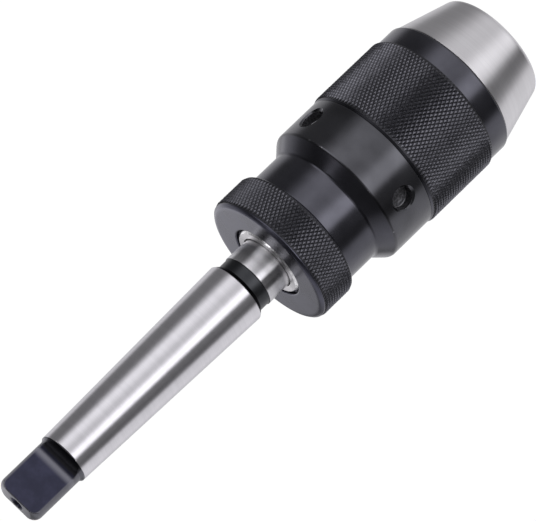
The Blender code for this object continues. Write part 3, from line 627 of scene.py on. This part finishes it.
def knurled(name, before, rows, after, radius, teeth):
    """Mesh of a ring whose outer side is knurled between two runs of its plain outline."""
    columns = 2 * teeth
    points, faces = [], []

    def point_at(size, station, angle):
        points.append((metres(size) * math.cos(angle), metres(size) * math.sin(angle), -metres(station)))
        return len(points) - 1

    def plain_ring(size, station, turn):
        return [point_at(size, station, math.pi * j / teeth + turn) for j in range(columns)]

    def join(low, high):
        for j in range(columns):
            k = (j + 1) % columns
            faces.append((low[j], low[k], high[k], high[j]))

    def point_height(k, j):
        """A pyramid's own height, as no two are rolled quite alike."""
        return KNURL_UNEVENNESS * noise.noise(Vector((k * 0.9, j * 0.7, radius)))

    first_turn, last_turn = rows[0][2], rows[-1][2]
    step = rows[1][1] - rows[0][1]
    crossings, flats = {}, {}
    last = len(rows) - 1
    for k, (edge, station, turn, parity) in enumerate(rows):
        for j in range(columns):
            angle = math.pi * j / teeth + turn
            if edge is not None:
                crossings[k, j] = point_at(edge, station, angle)
            elif (j + parity) % 2:
                crossings[k, j] = point_at(radius - KNURL_DEPTH, station, angle)
            else:
                size = radius + point_height(k, j)
                across = KNURL_FLAT * math.pi / teeth
                along = KNURL_FLAT * step
                twist = (rows[k][2] - rows[k - 1][2]) * KNURL_FLAT
                flats[k, j] = {
                    "left": point_at(size, station, angle - across),
                    "right": point_at(size, station, angle + across),
                    "rear": point_at(size, station - along, angle - twist),
                    "front": point_at(size, station + along, angle + twist),
                }
                flat = flats[k, j]
                faces.append((flat["left"], flat["front"], flat["right"], flat["rear"]))
    for k in range(last):
        for j in range(columns):
            m = (j + 1) % columns
            corners = ((k, j), (k, m), (k + 1, m), (k + 1, j))
            if corners[0] in flats or corners[2] in flats:
                near, far, one, other = corners[0], corners[2], corners[1], corners[3]
                near_sides, far_sides = ("right", "front"), ("left", "rear")
            else:
                near, far, one, other = corners[1], corners[3], corners[0], corners[2]
                near_sides, far_sides = ("left", "front"), ("right", "rear")
            one, other = crossings[one], crossings[other]
            if near in flats:
                flat = flats[near]
                faces.append((flat[near_sides[0]], one, other, flat[near_sides[1]]))
            else:
                faces.append((crossings[near], one, other))
            if far in flats:
                flat = flats[far]
                faces.append((flat[far_sides[0]], other, one, flat[far_sides[1]]))
            else:
                faces.append((crossings[far], other, one))
    first_row = [crossings[0, j] for j in range(columns)]
    last_row = [crossings[last, j] for j in range(columns)]
    knurl_faces = len(faces)
    front = [plain_ring(size, station, last_turn) for size, station in after]
    rear = [plain_ring(size, station, first_turn) for size, station in before]
    chain = rear + [first_row]
    for low, high in zip(chain, chain[1:]):
        join(low, high)
    chain = [last_row] + front
    for low, high in zip(chain, chain[1:]):
        join(low, high)
    join(chain[-1], rear[0])
    mesh = bpy.data.meshes.new(name)
    mesh.from_pydata(points, [], faces)
    fix = bmesh.new()
    fix.from_mesh(mesh)
    bmesh.ops.recalc_face_normals(fix, faces=fix.faces)
    fix.to_mesh(mesh)
    fix.free()
    smooth(mesh, 24)
    for i, face in enumerate(mesh.polygons):
        if i < knurl_faces:
            face.use_smooth = False
        else:
            face.material_index = 1
    return mesh


def make_grip_ring(knurl, oxide):
    groove = RING_RADIUS - KNURL_DEPTH
    edge = HUB_REAR + RING_CHAMFER - KNURL_DEPTH - 0.1
    start = edge + 0.25
    end = RING_FRONT - 0.6 + KNURL_DEPTH
    rows = knurl_rows(start, end, RING_TEETH, groove, groove)
    inner = [
        (HUB_NECK + 0.15, RING_FRONT),
        (HUB_NECK + 0.15, RING_FRONT - 1.8),
        (HUB_SEAT + 0.15, RING_FRONT - 1.8),
        (HUB_SEAT + 0.15, HUB_REAR + 1.6),
        (HUB_SEAT + 0.6, HUB_REAR + 1.15),
    ]
    inner += [tuple(p) for p in rounded([
        (HUB_SEAT + 0.6, HUB_REAR + 1.15),
        (HUB_SEAT + 0.6, HUB_REAR, 0.25),
        (HUB_SEAT + 1.1, HUB_REAR),
        (RING_RADIUS - RING_CHAMFER - 1.1, HUB_REAR),
        (RING_RADIUS - RING_CHAMFER, HUB_REAR, 1.2),
        (groove, edge, 0.3),
        (groove, start),
    ])[1:-1]]
    after = [(RING_RADIUS - 0.6, RING_FRONT)]
    mesh = knurled("grip_ring", inner, rows, after, RING_RADIUS, RING_TEETH)
    return piece("grip_ring", mesh, "arbor_and_hub", ["rear_grip_ring"], [knurl, oxide])


def make_grip_sleeve(knurl, oxide):
    groove = KNURL_RADIUS - KNURL_DEPTH
    rows = knurl_rows(SLEEVE_REAR + 0.55, KNURL_END, SLEEVE_TEETH, groove, BAND_RADIUS)
    after = [tuple(p) for p in rounded([
        (BAND_RADIUS, KNURL_END),
        (BAND_RADIUS, SLEEVE_FRONT, 0.5),
        (SLEEVE_BORE, SLEEVE_FRONT),
    ])[1:]]
    before = [(SLEEVE_BORE, SLEEVE_REAR), (BARREL_RADIUS - 0.15, SLEEVE_REAR)]
    mesh = knurled("grip_sleeve", before, rows, after, KNURL_RADIUS, SLEEVE_TEETH)
    return piece("grip_sleeve", mesh, "sleeve", ["knurled_sleeve"], [knurl, oxide])


def make_hood(oxide, barrel_oxide, hole_painted_light):
    corners = [
        (NECK_RADIUS, HOOD_REAR, 0.35),
        (NECK_RADIUS, NECK_END, 1.5),
        (BARREL_RADIUS, BARREL_START, 1.3),
        (BARREL_RADIUS, BARREL_LIP, 0.3),
        (JOINT_RADIUS, BARREL_LIP, 0.1),
        (JOINT_RADIUS, HOOD_FRONT, 0.3),
        (HOOD_SKIRT_BORE, HOOD_FRONT),
        (HOOD_SKIRT_BORE, HOOD_SKIRT_REAR),
        (HOOD_BORE, HOOD_SKIRT_REAR),
        (HOOD_BORE, HOOD_BORE_REAR),
        (HOOD_REAR_BORE, HOOD_BORE_REAR),
        (HOOD_REAR_BORE, HOOD_REAR, 0.2),
    ]
    mesh = turned("hood", corners, segments=FINE_SEGMENTS)
    obj = piece("hood", mesh, "sleeve", ["rear_hood"], [oxide, barrel_oxide, hole_painted_light])
    depth = SPANNER_HOLE_DEPTH
    radius = SPANNER_HOLE_RADIUS
    cutter_mesh = turned("spanner_hole", [
        (0, -1),
        (radius + 1.65, -1),
        (radius, 0.65, 0.1),
        (radius, depth, 0.3),
        (radius * 0.7, depth),
        (radius * 0.64, depth + 0.06),
        (0, depth + 0.5),
    ], closed=False, segments=64)
    cutters = []
    for i, angle in enumerate(SPANNER_HOLE_ANGLES):
        turn = math.radians(angle)
        cutter = bpy.data.objects.new(f"cutter_{i}", cutter_mesh)
        bpy.context.scene.collection.objects.link(cutter)
        cutter.location = (metres(BARREL_RADIUS) * math.cos(turn), metres(BARREL_RADIUS) * math.sin(turn),
                           -metres(SPANNER_HOLE_STATION))
        cutter.rotation_euler = (0, math.pi / 2, turn)
        modifier = obj.modifiers.new(f"hole_{i}", "BOOLEAN")
        modifier.object = cutter
        cutters.append(cutter)
    apply_modifiers(obj)
    for cutter in cutters:
        bpy.data.objects.remove(cutter)
    smooth(obj.data, 28)
    keep_round(obj.data)
    for face in obj.data.polygons:
        station = -face.center.z * 1000
        radius = face.center.xy.length
        # The spanner holes' walls take paler drilled steel, painted paler as light on the walls
        if in_spanner_hole(face.center) and radius > metres(BARREL_RADIUS - SPANNER_HOLE_DEPTH - 1):
            face.material_index = 2
        elif station > BARREL_START - 0.4:
            face.material_index = 1
    return obj


def in_spanner_hole(place):
    """Whether a point lies inside the round wall of a spanner hole."""
    place = place + Vector((0, 0, metres(SPANNER_HOLE_STATION)))
    for angle in SPANNER_HOLE_ANGLES:
        outward = Vector((math.cos(math.radians(angle)), math.sin(math.radians(angle)), 0))
        along = place.dot(outward)
        if along > 0 and (place - outward * along).length < metres(SPANNER_HOLE_RADIUS + 0.02):
            return True
    return False


def apply_modifiers(obj):
    """The object's mesh with its modifiers applied, in place."""
    graph = bpy.context.evaluated_depsgraph_get()
    graph.update()
    mesh = bpy.data.meshes.new_from_object(obj.evaluated_get(graph))
    obj.modifiers.clear()
    obj.data = mesh


def keep_round(mesh):
    """Shades the hood's neck, shoulder and cut barrel as the plain turned faces that they are."""
    normals = [Vector(n.vector) for n in mesh.corner_normals]
    plain = ((HOOD_REAR + 0.4, NECK_END - 0.6), (NECK_END + 0.6, BARREL_START - 0.5),
             (BARREL_START + 0.6, BARREL_LIP - 0.35))
    for face in mesh.polygons:
        radial = Vector((face.center.x, face.center.y, 0)).normalized()
        station = -face.center.z * 1000
        steepest = 0.99 if station > BARREL_START else 0.7
        if face.normal.dot(radial) < steepest or face.center.xy.length < metres(NECK_RADIUS - 0.2):
            continue
        if face.center.xy.length < metres(BARREL_RADIUS - 0.3) and station > BARREL_START:
            continue
        if not any(low < station < high for low, high in plain):
            continue
        for corner in face.loop_indices:
            place = mesh.vertices[mesh.loops[corner].vertex_index].co
            outward = Vector((place.x, place.y, 0)).normalized() * face.normal.xy.length
            normals[corner] = Vector((outward.x, outward.y, face.normal.z))
    mesh.normals_split_custom_set(normals)


def make_nose(steel):
    tip = NOSE_BASE - (NOSE_FRONT - NOSE_REAR) * math.tan(NOSE_ANGLE)
    slope = math.tan(JAW_ANGLE)
    corners = [
        (NOSE_SKIRT_RADIUS, NOSE_SKIRT_REAR, 0.3),
        (NOSE_SKIRT_RADIUS, HOOD_FRONT + 0.3),
        (JOINT_RADIUS, HOOD_FRONT + 0.3),
        (JOINT_RADIUS, NOSE_REAR),
        (NOSE_BASE, NOSE_REAR, 0.15),
        (tip, NOSE_FRONT, 2),
        (MOUTH_RADIUS + MOUTH_CHAMFER, NOSE_FRONT, 0.15),
        (MOUTH_RADIUS + MOUTH_CHAMFER * slope, NOSE_FRONT - MOUTH_CHAMFER, 0.15),
        (NOSE_BORE, NOSE_FRONT - (NOSE_BORE - MOUTH_RADIUS) / slope),
        (NOSE_BORE, NOSE_SKIRT_REAR),
    ]
    obj = piece("nose", turned("nose", corners), "sleeve", ["nose_sleeve"], [steel])
    weigh_normals(obj)
    return obj


# The stage

# Light levels of the studio, where 1 is white
WALL_LEVEL = 0.94
LOW_WALL_LEVEL = 0.9
WINDOW_LEVEL = 1.6
CEILING_LEVEL = 0.8
FLAG_LEVEL = 0.12
SPOT_LEVEL = 2.2
CAMERA_SIDE_SHARE = 0.35
RECESS_SHARE = 0.35
STUDIO_TINT = (0.975, 0.968, 1.0)

# Panels of the studio by azimuth from the camera: centre, half width, softness of the two edges, strength
UPPER_PANELS = (
    (165, 15, 25, 1, 0.72),
    (-165, 15, 1, 20, 0.72),
    (38, 6, 22, 14, 1.3),
    (-21.5, 5.5, 8, 18, 2.3),
    (92, 20, 26, 28, 0.2),
    (-58, 15, 15, 4, 0.13),
    (-46, 9, 8, 4, 0.2),
)
LOWER_PANELS = (
    (75, 50, 20, 30, 0.72),
    (118, 20, 55, 35, 0.35),
    (-61, 16, 16, 12, 0.1),
    (-8, 5, 14, 16, 1.3),
)


def make_world():
    """A soft studio round the object: pale walls with lighter and darker panels.

    The camera's side is dimmer above the horizon, with a darker recess at the camera and a window
    beside it. A dark flag hangs overhead with a small spot in it, and the wall opposite the camera is
    lighter on one side.
    """
    world = bpy.data.worlds.new("studio")
    bpy.context.scene.world = world
    world.use_nodes = True
    tree = world.node_tree
    background = tree.nodes["Background"]
    direction = node(tree, "TexCoord").outputs["Generated"]
    facing = Vector((math.sin(CAMERA_AZIMUTH), -math.cos(CAMERA_AZIMUTH), 0))
    beside = Vector((math.cos(CAMERA_AZIMUTH), math.sin(CAMERA_AZIMUTH), 0))
    ahead = node(tree, "VectorMath", {0: direction, 1: facing}, operation="DOT_PRODUCT").outputs["Value"]
    aside = node(tree, "VectorMath", {0: direction, 1: beside}, operation="DOT_PRODUCT").outputs["Value"]
    height = node(tree, "SeparateXYZ", {0: direction}).outputs["Z"]
    azimuth = calculate(tree, "ARCTAN2", aside, ahead)

    def panel(centre, half, left, right):
        """1 inside a standing panel round the azimuth centre, soft at its two edges, all in degrees."""
        low, high = math.radians(centre - half), math.radians(centre + half)
        rise = ramp(tree, azimuth, low - math.radians(left), low)
        fall = ramp(tree, azimuth, high, high + math.radians(right), 1.0, 0.0)
        return calculate(tree, "MULTIPLY", rise, fall)

    def standing(level, panels):
        """The studio's level by azimuth: a plain level, and panels that each set their own strength."""
        for centre, half, left, right, strength in panels:
            level = blend_values(tree, panel(centre, half, left, right), level, strength)
        return level

    def disc(azimuth_from_camera, elevation, edge, core):
        """1 inside a round patch of the studio, soft between two radii, all in degrees."""
        turn, rise = math.radians(azimuth_from_camera), math.radians(elevation)
        place = (facing * math.cos(turn) + beside * math.sin(turn)) * math.cos(rise)
        place.z = math.sin(rise)
        nearness = node(tree, "VectorMath", {0: direction, 1: place}, operation="DOT_PRODUCT")
        low, high = math.cos(math.radians(edge)), math.cos(math.radians(core))
        return ramp(tree, nearness.outputs["Value"], low, high)

    upper = standing(WALL_LEVEL, UPPER_PANELS)
    lower = standing(LOW_WALL_LEVEL, LOWER_PANELS)
    level = blend_values(tree, ramp(tree, height, -0.62, -0.4), lower, upper)
    room = calculate(tree, "MULTIPLY", panel(0, 85, 35, 35), ramp(tree, height, -0.02, 0.2))
    level = calculate(tree, "MULTIPLY", level, blend_values(tree, room, 1.0, CAMERA_SIDE_SHARE))
    recess = calculate(tree, "MULTIPLY", ramp(tree, height, 0.0, 0.15), ramp(tree, height, 0.6, 0.4))
    recess = calculate(tree, "MULTIPLY", recess, panel(0, 12, 14, 12))
    level = calculate(tree, "MULTIPLY", level, blend_values(tree, recess, 1.0, RECESS_SHARE))
    window = calculate(tree, "MULTIPLY", ramp(tree, height, 0.02, 0.12), ramp(tree, height, 0.5, 0.36))
    window = calculate(tree, "MULTIPLY", window, panel(49, 10, 14, 14))
    level = blend_values(tree, window, level, WINDOW_LEVEL)
    steep = calculate(tree, "ABSOLUTE", height)
    level = blend_values(tree, ramp(tree, steep, 0.86, 0.97), level, CEILING_LEVEL)
    level = blend_values(tree, disc(0, 70, 48, 30), level, FLAG_LEVEL)
    level = blend_values(tree, disc(60, 65, 9, 4), level, SPOT_LEVEL)
    behind = calculate(tree, "MULTIPLY", ramp(tree, ahead, -0.7, -0.9), ramp(tree, height, 0.02, 0.12))
    wall = ramp(tree, aside, -0.04, 0.04, 0.26, 1.42)
    level = blend_values(tree, behind, level, wall)
    seen = node(tree, "LightPath").outputs["Is Camera Ray"]
    tinted = node(tree, "CombineXYZ", dict(enumerate(STUDIO_TINT))).outputs[0]
    scaled = node(tree, "VectorMath", {0: tinted, "Scale": level}, operation="SCALE").outputs[0]
    colour = blend_colours(tree, seen, scaled, (1, 1, 1))
    tree.links.new(colour, background.inputs["Color"])
    background.inputs["Strength"].default_value = 1.0
    return world


def make_floor():
    """Pale floor below the nose, white to the camera. It keeps the shadow and is clear from below."""
    half, height = 6.0, -0.30
    mesh = bpy.data.meshes.new("floor")
    corners = [(x * half, y * half, height) for x, y in ((-1, -1), (1, -1), (1, 1), (-1, 1))]
    mesh.from_pydata(corners, [], [(0, 1, 2, 3)])
    floor = bpy.data.objects.new("floor", mesh)
    bpy.context.scene.collection.objects.link(floor)
    material = bpy.data.materials.new("pale_floor")
    material.use_nodes = True
    tree = material.node_tree
    tree.nodes.clear()
    paint = node(tree, "BsdfDiffuse", {"Color": (0.82, 0.82, 0.82, 1)}).outputs[0]
    glow = node(tree, "Emission", {"Color": (1, 1, 1, 1), "Strength": 1.08}).outputs[0]
    seen = node(tree, "LightPath").outputs["Is Camera Ray"]
    share = calculate(tree, "MULTIPLY", seen, 0.92)
    surface = node(tree, "MixShader", {0: share, 1: paint, 2: glow}).outputs[0]
    clear = node(tree, "BsdfTransparent").outputs[0]
    behind = node(tree, "NewGeometry").outputs["Backfacing"]
    final = node(tree, "MixShader", {0: behind, 1: surface, 2: clear}).outputs[0]
    node(tree, "OutputMaterial", {"Surface": final})
    mesh.materials.append(material)
    floor.visible_glossy = False
    floor.visible_shadow = False
    return floor


def make_lamp(name, place, target, size, power):
    light = bpy.data.lights.new(name, "AREA")
    light.shape = "DISK"
    light.size = size
    light.energy = power
    lamp = bpy.data.objects.new(name, light)
    bpy.context.scene.collection.objects.link(lamp)
    lamp.location = place
    lamp.rotation_mode = "QUATERNION"
    lamp.rotation_quaternion = (Vector(target) - Vector(place)).to_track_quat("-Z", "Y")
    lamp.visible_glossy = False
    return lamp


def make_camera():
    data = bpy.data.cameras.new("camera")
    data.lens = CAMERA_LENS
    data.sensor_width = SENSOR_WIDTH
    data.sensor_fit = "HORIZONTAL"
    data.clip_start = 0.05
    data.clip_end = 50
    camera = bpy.data.objects.new("camera", data)
    bpy.context.scene.collection.objects.link(camera)
    bpy.context.scene.camera = camera
    back = Vector((
        math.sin(CAMERA_AZIMUTH) * math.cos(CAMERA_ELEVATION),
        -math.cos(CAMERA_AZIMUTH) * math.cos(CAMERA_ELEVATION),
        math.sin(CAMERA_ELEVATION),
    ))
    level_right = Vector((0, 0, 1)).cross(back).normalized()
    level_up = back.cross(level_right)
    up = math.cos(CAMERA_ROLL) * level_up + math.sin(CAMERA_ROLL) * level_right
    right = up.cross(back)
    turn = Matrix((right, up, back)).transposed()
    camera.matrix_world = Matrix.Translation(CAMERA_AIM + back * CAMERA_DISTANCE) @ turn.to_4x4()
    return camera


def dress_node(name, material, smooth_angle=40):
    """A CAD node whose shape is right gets its material and smooth shading."""
    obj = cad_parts[name]
    obj.data.materials.clear()
    obj.data.materials.append(material)
    obj.data.shade_smooth()
    obj.data.set_sharp_from_angle(angle=math.radians(smooth_angle))


bpy.context.scene.view_settings.view_transform = "Standard"
make_camera()
make_world()
make_floor()
make_lamp("key", (-0.7, -1.0, 0.9), (0, 0, -0.02), 0.8, 8)

STEEL = ground_steel()
# The spigot's steel is painted brighter towards the hub's socket, as painted light
SPIGOT_STEEL = ground_steel("spigot_steel", (0.56, 0.555, 0.57), 0.24, 0.92, (0.97, 0.965, 0.975))
NOSE_STEEL = ground_steel("nose_steel", (0.655, 0.645, 0.655), 0.32)
OXIDE = black_oxide()
UNDERCUT_OXIDE = black_oxide("undercut_oxide", (0.05, 0.052, 0.056), 0.34)
# Near-black painted shade for the chamfer at the cone's big end
CHAMFER_PAINTED_SHADE = black_oxide("chamfer_painted_shade", (0.014, 0.014, 0.016), 0.45)
TANG_OXIDE = tang_oxide()
RING_OXIDE = black_oxide("ring_oxide", (0.077, 0.077, 0.099), 0.28)
# The barrel's front edge has pale nicks, wear that also paints its highlight
BARREL_OXIDE = black_oxide("barrel_oxide", (0.077, 0.0775, 0.085), 0.2, BARREL_START)
# Paler drilled steel for the spanner holes, painted paler as light on their walls
HOLE_PAINTED_LIGHT_STEEL = plain_steel("spanner_hole_painted_light", (0.2, 0.2, 0.212), 0.42, 1400, 0.00007, 0.5)
BAND_OXIDE = black_oxide("band_oxide")
HUB_STEEL = ground_steel("hub_steel", (0.56, 0.55, 0.56), 0.34, 0.95)
# Steel far brighter than the hub's, a painted glint on the hub's rim
HUB_RIM_GLINT_STEEL = plain_steel("hub_rim_painted_glint", (0.93, 0.92, 0.93), 0.2, 1300, 0.00005, 0.3)
HARD_STEEL = plain_steel("hardened_steel", (0.45, 0.45, 0.46), 0.25)
JAW_STEEL = plain_steel("jaw_steel", (0.3, 0.3, 0.31), 0.32)
BRASS = plain_steel("cage_brass", (0.62, 0.42, 0.16), 0.33)

make_arbor(STEEL, UNDERCUT_OXIDE, TANG_OXIDE, SPIGOT_STEEL, CHAMFER_PAINTED_SHADE)
make_hub(HUB_STEEL, HUB_RIM_GLINT_STEEL)
make_grip_ring(knurl_oxide("ring_knurl", RING_RADIUS - KNURL_DEPTH, RING_RADIUS, 0.33), RING_OXIDE)
make_hood(OXIDE, BARREL_OXIDE, HOLE_PAINTED_LIGHT_STEEL)
make_grip_sleeve(knurl_oxide("sleeve_knurl", KNURL_RADIUS - KNURL_DEPTH, KNURL_RADIUS, 0.23), BAND_OXIDE)
make_nose(NOSE_STEEL)

HARDENED_NODES = ("hub_race", "hood_race", "jaw_guide", "feed_screw")
for node_name in sorted(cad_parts):
    if node_name == "dust_seal":
        dress_node(node_name, seal_rubber(), 80)
    elif node_name == "ball_cage":
        dress_node(node_name, BRASS)
    elif node_name.startswith("ball_"):
        dress_node(node_name, HARD_STEEL, 60)
    elif node_name in HARDENED_NODES or node_name.startswith("guide_pin"):
        dress_node(node_name, HARD_STEEL)
    elif node_name.startswith("jaw_"):
        dress_node(node_name, JAW_STEEL)
